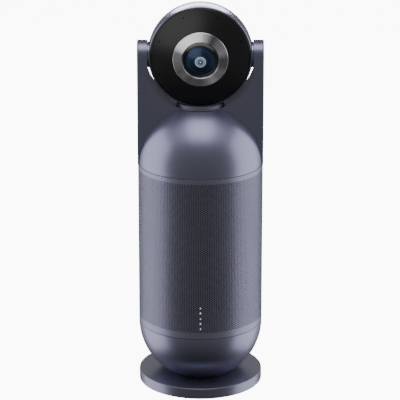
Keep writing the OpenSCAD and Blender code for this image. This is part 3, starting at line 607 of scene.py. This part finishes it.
def ball(radius, centre, turns=160, rings=80, along="Z"):
    """A ball whose poles lie along Z or Y."""
    bm = bmesh.new()
    turn = Matrix.Rotation(pi / 2, 4, "X") if along == "Y" else Matrix.Identity(4)
    bmesh.ops.create_uvsphere(bm, u_segments=turns, v_segments=rings, radius=radius,
                              matrix=Matrix.Translation(centre) @ turn)
    return bm


def trim(bm, point, normal):
    """Cuts away what lies beyond a plane and closes the cut with one face."""
    result = bmesh.ops.bisect_plane(bm, geom=whole(bm), dist=1e-7, plane_co=point,
                                    plane_no=normal, clear_outer=True)
    rim = [g for g in result["geom_cut"] if isinstance(g, bmesh.types.BMEdge)]
    bmesh.ops.contextual_create(bm, geom=rim)
    return rim


def yoke_slab(half, low_z, x0, x1, steps=28):
    """The yoke's side outline, square below and round about the tilt axis, drawn out along X."""
    bm = bmesh.new()
    side = [(-half, low_z), (half, low_z), *arc(0, TILT_Z, half, 0, 180, steps)]
    face = bm.faces.new([bm.verts.new((x0, y, z)) for y, z in side])
    top = bmesh.ops.extrude_face_region(bm, geom=[face])["geom"]
    bmesh.ops.translate(bm, vec=(x1 - x0, 0, 0), verts=only_verts(top))
    bmesh.ops.recalc_face_normals(bm, faces=bm.faces)
    return bm


def soften(bm, width, limit=35, segments=3):
    """Rounds the edges that turn by more than limit degrees."""
    hard = [e for e in bm.edges if len(e.link_faces) == 2 and e.calc_face_angle() > radians(limit)]
    bmesh.ops.bevel(bm, geom=hard, offset=width, segments=segments, profile=0.5, affect="EDGES",
                    clamp_overlap=True, material=-1)


tilt = next(joint for joint in frame["joints"] if joint["name"] == "tilt")
TILT_Z = tilt["pos_m"][2]
turret_low, turret_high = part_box("turret_housing")
head_low, head_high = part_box("head_shell")
cover_low, cover_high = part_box("arm_cover_right")
HEAD_R = head_high.z - TILT_Z
YOKE_HALF = cover_high.y
ARM_INNER = 46.8 * MM
POCKET_R = HEAD_R + 4.3 * MM
DOME_HOLLOW_R = POCKET_R + 0.4 * MM
DOME_Z = turret_low.z - SEAM_HALF
ARM_EDGE = 0.55 * MM
COVER_GAP = 0.15 * MM
BEYOND = 1 * MM
FLAT = 0.2

slab = yoke_slab(YOKE_HALF, turret_low.z, turret_low.x, turret_high.x)
pocket = ball(POCKET_R, (0, 0, TILT_Z), 176, 56, "Y")
for side in (-1, 1):
    trim(pocket, (side * ARM_INNER, 0, TILT_Z), (side, 0, 0))
slab = cut(slab, pocket)
bmesh.ops.dissolve_limit(slab, angle_limit=radians(FLAT), verts=slab.verts, edges=slab.edges)
soften(slab, ARM_EDGE)

dome = ball(BODY_R, (0, 0, DOME_Z), 192, 96)
trim(dome, (0, 0, turret_low.z), (0, 0, -1))
soften(dome, EDGE, 60, 2)
dome = cut(dome, ball(DOME_HOLLOW_R, (0, 0, TILT_Z), 160, 80))
bm = cut(dome, slab, "UNION")
for x0, x1 in ((-BODY_R - BEYOND, turret_low.x), (turret_high.x, BODY_R + BEYOND)):
    bm = cut(bm, block((x0, -YOKE_HALF - COVER_GAP, turret_low.z - BEYOND),
                       (x1, YOKE_HALF + COVER_GAP, TILT_Z)))
crease(bm)
turret_paint = metallic_paint("turret_paint")
piece("turret_shell", bm, turret_paint, "turret", "housing_paint", "turret_housing")


# ---------------------------------------------------------------- arm covers
# Thin side covers that run from the seam to the top of each arm and clip on over the belt and
# the encoder. Their softened edges leave a fine dark line along the arm.

COVER_EDGE = 0.8 * MM

for name, x0, x1 in (("left", -cover_high.x, -cover_low.x), ("right", cover_low.x, cover_high.x)):
    bm = yoke_slab(YOKE_HALF, cover_low.z, x0, x1, 40)
    soften(bm, COVER_EDGE)
    crease(bm)
    piece(f"side_cover_{name}", bm, turret_paint, "turret", "housing_paint", f"arm_cover_{name}")


# ---------------------------------------------------------------- saddle pad
# A round dished pad in the bottom of the pocket, just clear of the head, moulded with a rounded
# rim and a darker and more matte finish than the housings.

def dish(radius, end):
    """Points of a bowl about the tilt axis, from its lowest point out to end degrees."""
    turn = [radians(end * i / DISH_STEPS) for i in range(DISH_STEPS + 1)]
    return [(radius * sin(a), TILT_Z - radius * cos(a)) for a in turn]


SADDLE_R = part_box("saddle_pad")[1].x
SADDLE_ROUND = 0.35 * MM
SADDLE_TOP_R = SADDLE_R - 0.4 * MM
SADDLE_SLATE = (0.19, 0.19, 0.235)
SADDLE_SLATE_DEEP = (0.16, 0.16, 0.20)
DISH_STEPS = 12
low_r = POCKET_R - 0.1 * MM
top_r = HEAD_R + 0.6 * MM
edge_z = TILT_Z - sqrt(top_r ** 2 - SADDLE_TOP_R ** 2)
bm = lathe([*dish(low_r, degrees(asin(SADDLE_R / low_r))),
            *arc(SADDLE_R - SADDLE_ROUND, edge_z - SADDLE_ROUND, SADDLE_ROUND, 0, 85),
            *reversed(dish(top_r, degrees(asin(SADDLE_TOP_R / top_r))))], 128)
crease(bm)
saddle_paint = metallic_paint("saddle_paint", SADDLE_SLATE, SADDLE_SLATE_DEEP, 0.6, 0.2)
piece("saddle_dish", bm, saddle_paint, "turret", "housing_paint", "saddle_pad")


# ---------------------------------------------------------------- head shell
# A moulded ball, open at the front behind a narrow lip and cut flat on both sides, where the
# hubs stand.

def on_lens_axis(bm):
    """Turns a lathed shape so that its height runs forward from the tilt axis."""
    bmesh.ops.rotate(bm, cent=(0, 0, 0), matrix=Matrix.Rotation(pi / 2, 3, "X"), verts=bm.verts)
    bmesh.ops.translate(bm, vec=(0, 0, TILT_Z), verts=bm.verts)
    return bm


glass_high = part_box("front_glass")[1]
GLASS_R = glass_high.x
FRONT = -head_low.y
SHELL = 2.5 * MM
LIP_ROUND = 1.0 * MM
CHEEK_ROUND = 0.35 * MM
HEAD_SLATE = (0.33, 0.333, 0.42)
HEAD_SLATE_DEEP = (0.28, 0.283, 0.36)
GLASS_BED_R = GLASS_R + 0.1 * MM
front_r = sqrt(HEAD_R ** 2 - FRONT ** 2)
edge_angle = degrees(asin(FRONT / HEAD_R))
back = HEAD_R - SHELL
seat = -glass_high.y
bm = lathe([*arc(0, 0, HEAD_R, -90, edge_angle - 0.9, 60),
            *arc(front_r - LIP_ROUND * 0.9, FRONT - LIP_ROUND, LIP_ROUND, 15, 90, 4),
            (GLASS_BED_R, FRONT), (GLASS_BED_R, seat),
            *arc(0, 0, back, degrees(asin(seat / back)), -90, 40)])
bm = on_lens_axis(bm)
for side in (-1, 1):
    rim = trim(bm, (side * head_high.x, 0, TILT_Z), (side, 0, 0))
    bmesh.ops.bevel(bm, geom=[e for e in rim if e.is_valid], offset=CHEEK_ROUND, segments=2,
                    profile=0.5, affect="EDGES", clamp_overlap=True, material=-1)
crease(bm)
head_paint = metallic_paint("head_paint", HEAD_SLATE, HEAD_SLATE_DEEP, 0.27)
back_lit.objects.link(piece("head_case", bm, head_paint, "head", "housing_paint", "head_shell"))
for node in ("hub_left", "hub_right"):
    dress(node, head_paint)


# ---------------------------------------------------------------- front glass
# A shallow dome of black glass, coated to a soft sheen, that sits inside the lip of the head.
# Eight microphone holes stand in a circle near its rim.

RING_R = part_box("steel_ring")[1].x
GLASS_T = 2.2 * MM
GLASS_RISE = 7.4 * MM
GLASS_BORE = RING_R - 3 * MM
GLASS_ROUND = 0.5 * MM
SKIRT_R = GLASS_R - 1.6 * MM
CROWN_STEPS = 18
MIC_HOLES = 8
MIC_CIRCLE_R = 39 * MM
MIC_HOLE_R = 0.62 * MM
MIC_DRILL = 12 * MM
crown_drop = (GLASS_R ** 2 - RING_R ** 2 - GLASS_RISE ** 2) / (2 * GLASS_RISE)
crown_r = sqrt(GLASS_R ** 2 + crown_drop ** 2)
crown_mid = FRONT - crown_drop


def crown(r, depth=0):
    """How far forward the glass stands at a radius, less a depth."""
    return crown_mid + sqrt((crown_r - depth) ** 2 - r ** 2)


rim_r = GLASS_R - GLASS_ROUND
radii = [rim_r + (GLASS_BORE - rim_r) * i / CROWN_STEPS for i in range(CROWN_STEPS + 1)]
bm = lathe([(GLASS_R, seat), (GLASS_R, crown(GLASS_R) - GLASS_ROUND),
            (GLASS_R - 0.15 * MM, crown(GLASS_R) - 0.1 * MM),
            *[(r, crown(r)) for r in radii], *[(r, crown(r, GLASS_T)) for r in radii[:1:-1]],
            (SKIRT_R, crown(SKIRT_R, GLASS_T)), (SKIRT_R, seat)])
holes = bmesh.new()
out_to_circle = Matrix.Translation((MIC_CIRCLE_R, 0, crown(MIC_CIRCLE_R)))
for i in range(MIC_HOLES):
    turn = Matrix.Rotation(2 * pi * (i + 0.5) / MIC_HOLES, 4, "Z")
    bmesh.ops.create_cone(holes, cap_ends=True, segments=16, radius1=MIC_HOLE_R,
                          radius2=MIC_HOLE_R, depth=MIC_DRILL, matrix=turn @ out_to_circle)
bm = on_lens_axis(cut(bm, holes))
crease(bm)
glass = Finish("black_glass", (0.005, 0.005, 0.006), Specular_IOR_Level=0.5, IOR=1.52)
glass.set("Roughness", 0.26 + glass.noise(35, 3) * 0.04)
key_lit.objects.link(piece("glass_dome", bm, glass.material, "head", "front_glass", "front_glass"))


# ---------------------------------------------------------------- steel ring
# A turned stainless cone that stands on the glass, with a narrow bevel round its bore. Its face
# keeps the fine circular lines of the tool. The light and dark wedges that such lines reflect are
# painted into its colour by the angle round the lens axis, as a painted reflection.

ring_low, ring_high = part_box("steel_ring")
RING_BASE = FRONT + GLASS_RISE
RING_FRONT = -ring_low.y
RING_IN = 16.75 * MM
RING_BORE = RING_IN - 1.4 * MM
RING_SPIGOT_R = GLASS_BORE - 0.1 * MM
bm = lathe([(RING_R, RING_BASE + 0.05 * MM), (RING_R, RING_BASE + 0.3 * MM),
            (RING_R - 0.25 * MM, RING_BASE + 0.55 * MM),
            (RING_IN + 0.35 * MM, RING_FRONT - 0.12 * MM), (RING_IN, RING_FRONT),
            (RING_IN - 0.35 * MM, RING_FRONT - 0.1 * MM),
            (RING_BORE + 0.1 * MM, RING_FRONT - 1.0 * MM),
            (RING_BORE, RING_FRONT - 1.3 * MM), (RING_BORE, -ring_high.y),
            (RING_SPIGOT_R, -ring_high.y), (RING_SPIGOT_R, crown(GLASS_BORE) + 0.1 * MM)], 256)
bm = on_lens_axis(bm)
crease(bm, 18)
turned = Finish("turned_steel", (0.74, 0.74, 0.76), Metallic=1.0)
at = turned.node("SeparateXYZ", {}, {0: turned.place()})
across = at.out("X")
up = at.out("Z") - TILT_Z
radius = (across * across + up * up).math("SQRT")
lines = turned.noise(5200, 2, 0.7, turned.node("CombineXYZ", {}, {0: radius}))
bearing = across.math("ARCTAN2", up) * (0.5 / pi) + 0.5
# Painted reflection: light and dark wedges set by the angle round the lens axis, brightest towards
# the upper left.
painted_reflection = turned.node("ValToRGB", {"stops": [
    (0.0, (0.30, 0.30, 0.31, 1)), (0.08, (0.45, 0.45, 0.46, 1)), (0.125, (0.80, 0.80, 0.80, 1)),
    (0.165, (0.45, 0.45, 0.46, 1)), (0.25, (0.52, 0.52, 0.53, 1)), (0.295, (0.22, 0.22, 0.23, 1)),
    (0.335, (0.80, 0.80, 0.81, 1)), (0.40, (1.0, 1.0, 1.0, 1)), (0.47, (1.0, 1.0, 1.0, 1)),
    (0.51, (1.0, 1.0, 1.0, 1)), (0.545, (0.90, 0.90, 0.91, 1)), (0.585, (0.20, 0.20, 0.21, 1)),
    (0.625, (0.55, 0.55, 0.57, 1)), (0.70, (0.85, 0.85, 0.88, 1)), (0.745, (0.22, 0.22, 0.23, 1)),
    (0.80, (0.26, 0.26, 0.27, 1)), (0.835, (0.50, 0.50, 0.51, 1)), (0.875, (0.36, 0.36, 0.37, 1)),
    (0.92, (0.58, 0.58, 0.58, 1)), (1.0, (0.30, 0.30, 0.31, 1))]}, {0: bearing})
turned.set("Base Color", turned.mix(lines * 0.35, painted_reflection, (0.12, 0.12, 0.13, 1)))
turned.set("Roughness", 0.20 + lines * 0.16)
turned.bump(lines, 0.22, 0.00005)
surround = piece("lens_surround", bm, turned.material, "head", "ring_steel", "steel_ring")
key_lit.objects.link(surround)
ring_lit.objects.link(surround)


# ---------------------------------------------------------------- lens
# A black metal ring, screwed in, holds the domed front lens; its top is lightened by a painted
# reflection. The lens has a blue coating, and pale circles and a bright middle painted into its
# colour stand for the rims of the smaller elements behind it and the light they reflect.

nut_low, nut_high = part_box("lens_ring")
LENS_R = 13.3 * MM
LENS_BED_R = LENS_R + 0.1 * MM
LENS_LIP_R = LENS_R - 0.2 * MM
BARREL_FRONT = -nut_high.y
NUT_STEP = BARREL_FRONT + 1.3 * MM
bm = lathe([(LENS_BED_R, BARREL_FRONT), (nut_high.x, BARREL_FRONT),
            (nut_high.x, BARREL_FRONT + 1.5 * MM),
            (nut_high.x - 0.5 * MM, -nut_low.y), (nut_high.x - 0.9 * MM, -nut_low.y - 0.1 * MM),
            (LENS_LIP_R, NUT_STEP + 0.05 * MM), (LENS_LIP_R, NUT_STEP),
            (LENS_BED_R, NUT_STEP)], 160)
bm = on_lens_axis(bm)
crease(bm, 25)
nut = Finish("lens_nut_metal", (0.02, 0.02, 0.02), Metallic=0.5, Roughness=0.35)
height = (nut.node("SeparateXYZ", {}, {0: nut.place()}).out("Z") - TILT_Z) / LENS_R
# Painted reflection: the upper part of the ring is painted a light beige, the rest near black.
nut.set("Base Color", nut.node("ValToRGB", {"stops": [
    (0.0, (0.015, 0.015, 0.016, 1)), (0.55, (0.02, 0.02, 0.02, 1)),
    (0.95, (0.34, 0.32, 0.28, 1))]}, {0: height}))
key_lit.objects.link(piece("lens_nut", bm, nut.material, "head", "black_plastic", "lens_ring"))

lens_low, lens_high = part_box("front_lens")
LENS_APEX = -lens_low.y
LENS_DOME = 25 * MM
PAINTED_RINGS_DROP = 0.8 * MM
dome_mid = LENS_APEX - LENS_DOME
lens_angle = degrees(acos(LENS_R / LENS_DOME))
bm = lathe([(0, -lens_high.y), (LENS_R, -lens_high.y),
            *arc(0, dome_mid, LENS_DOME, lens_angle, 90, 24)], 128)
bm = on_lens_axis(bm)
crease(bm)
coated = Finish("coated_lens", (0.012, 0.03, 0.055), Roughness=0.24, IOR=1.85)
coated.set("Specular Tint", (0.38, 0.52, 0.85, 1))
at = coated.node("SeparateXYZ", {}, {0: coated.place()})
across = at.out("X")
up = at.out("Z") - (TILT_Z - PAINTED_RINGS_DROP)
radius = (across * across + up * up).math("SQRT") / LENS_R
# Painted reflection: pale rings and a near-white middle round a centre a little below the lens axis,
# for the rims of the inner elements as they catch the light.
rings = coated.node("ValToRGB", {"stops": [
    (0.0, (0.85, 0.93, 1, 1)), (0.05, (0.55, 0.72, 0.92, 1)), (0.09, (0.02, 0.05, 0.12, 1)),
    (0.15, (0.03, 0.07, 0.14, 1)), (0.19, (0.42, 0.58, 0.74, 1)), (0.25, (0.16, 0.26, 0.38, 1)),
    (0.30, (0.56, 0.68, 0.80, 1)), (0.34, (0.66, 0.78, 0.90, 1)), (0.38, (0.010, 0.018, 0.035, 1)),
    (0.62, (0.005, 0.010, 0.022, 1)), (0.80, (0.012, 0.024, 0.055, 1)),
    (0.90, (0.004, 0.010, 0.025, 1)), (1.0, (0.003, 0.003, 0.004, 1))]}, {0: radius})
coated.set("Base Color", rings)
key_lit.objects.link(piece("lens_dome", bm, coated.material, "head", "lens_glass", "front_lens"))
dress("rear_lens", coated.material)


bpy.context.view_layer.update()
